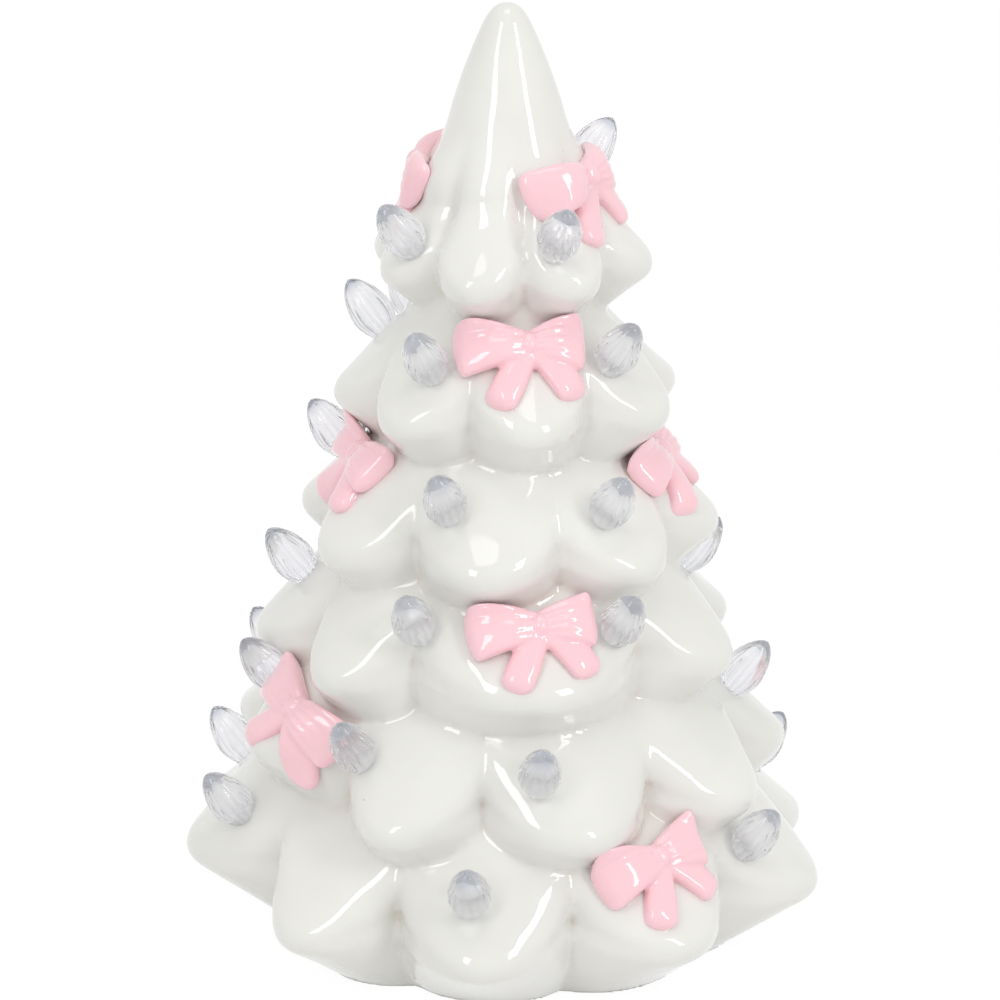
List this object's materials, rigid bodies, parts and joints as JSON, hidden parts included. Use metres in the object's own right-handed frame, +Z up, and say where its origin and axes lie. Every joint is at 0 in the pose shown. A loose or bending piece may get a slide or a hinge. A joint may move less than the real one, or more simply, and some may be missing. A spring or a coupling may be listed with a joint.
{
  "type": "ceramic christmas tree",
  "caption": "Free-standing white glazed ceramic tree with tiers of rounded boughs, pink bows and clear ribbed peg bulbs, lit by a battery light with a hinged door in its foot.",
  "frame": {"origin": "centre of the foot, on the surface that the tree stands on", "axes": "+Z up along the tree's axis to the tip of the spire; the front faces -Y"},
  "size_m": [0.1547, 0.1598, 0.23],
  "materials": {
    "white_glaze": "gloss",
    "pink_glaze": "gloss",
    "clear_plastic": "gloss",
    "white_plastic": "satin",
    "black_plastic": "satin",
    "cell_jacket": "satin",
    "contact_metal": "satin",
    "board_laminate": "satin",
    "lamp_epoxy": "gloss",
    "screw_steel": "satin",
    "red_insulation": "satin",
    "black_insulation": "satin"
  },
  "bodies": {
    "tree": {"tree_body": "white_glaze", "bulb_01": "clear_plastic", "bulb_02": "clear_plastic", "bulb_03": "clear_plastic", "bulb_04": "clear_plastic", "bulb_05": "clear_plastic", "bulb_06": "clear_plastic", "bulb_07": "clear_plastic", "bulb_08": "clear_plastic", "bulb_09": "clear_plastic", "bulb_10": "clear_plastic", "bulb_11": "clear_plastic", "bulb_12": "clear_plastic", "bulb_13": "clear_plastic", "bulb_14": "clear_plastic", "bulb_15": "clear_plastic", "bulb_16": "clear_plastic", "bulb_17": "clear_plastic", "bulb_18": "clear_plastic", "bulb_19": "clear_plastic", "bulb_20": "clear_plastic", "bulb_21": "clear_plastic", "bulb_22": "clear_plastic", "bulb_23": "clear_plastic", "bulb_24": "clear_plastic", "bulb_25": "clear_plastic", "bulb_26": "clear_plastic", "bulb_27": "clear_plastic", "bulb_28": "clear_plastic", "bulb_29": "clear_plastic", "bulb_30": "clear_plastic", "bulb_31": "clear_plastic", "bulb_32": "clear_plastic", "bulb_33": "clear_plastic", "bulb_34": "clear_plastic", "bow_01": "pink_glaze", "bow_02": "pink_glaze", "bow_03": "pink_glaze", "bow_04": "pink_glaze", "bow_05": "pink_glaze", "bow_06": "pink_glaze", "bow_07": "pink_glaze", "bow_08": "pink_glaze", "bow_09": "pink_glaze", "bow_10": "pink_glaze", "bow_11": "pink_glaze", "bow_12": "pink_glaze", "light_base": "white_plastic", "aaa_cells": "cell_jacket", "positive_contacts": "contact_metal", "negative_contacts": "contact_metal", "switch_body": "black_plastic", "led_board": "board_laminate", "led": "lamp_epoxy", "board_screws": "screw_steel", "red_lead": "red_insulation", "black_leads": "black_insulation"},
    "door": {"battery_door": "white_plastic"},
    "slider": {"switch_slider": "black_plastic"}
  },
  "joints": [
    {"name": "door_hinge", "type": "hinge", "parent": "tree", "child": "door", "pos_m": [-0.02495, -0.006, 0.0018], "axis": [0, 1, 0], "range_deg": [0, 100]},
    {"name": "switch_slide", "type": "slide", "parent": "tree", "child": "slider", "axis": [1, 0, 0], "range_m": [0, 0.003]}
  ]
}
